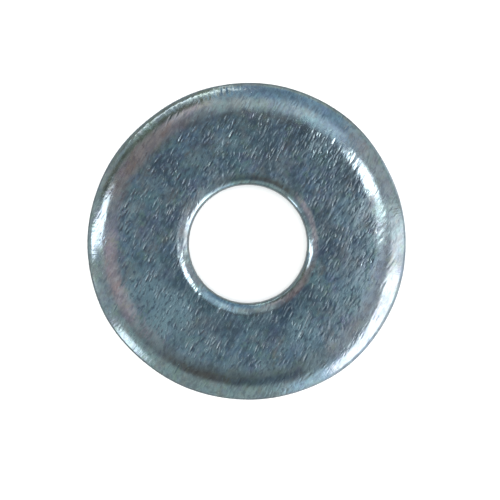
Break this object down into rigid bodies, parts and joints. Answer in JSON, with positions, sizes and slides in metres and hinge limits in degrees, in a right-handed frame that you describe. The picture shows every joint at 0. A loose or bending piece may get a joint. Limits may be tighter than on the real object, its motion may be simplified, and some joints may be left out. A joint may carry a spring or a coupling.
{
  "type": "flat washer",
  "caption": "Thick round flat washer of zinc-plated steel with a rolled outer edge and a clearance hole for a bolt.",
  "frame": {"origin": "centre of the hole in the plane of the lower, sharp-edged bearing face", "axes": "+Z along the hole, towards the face with the rolled edge; X and Y are free, because the ring is round"},
  "size_m": [0.017, 0.017, 0.003],
  "materials": {
    "zinc_plate": "bright zinc plate with a clear blue passivate, tumbled, finely nicked"
  },
  "bodies": {
    "root": {"washer": "zinc_plate"}
  },
  "joints": []
}
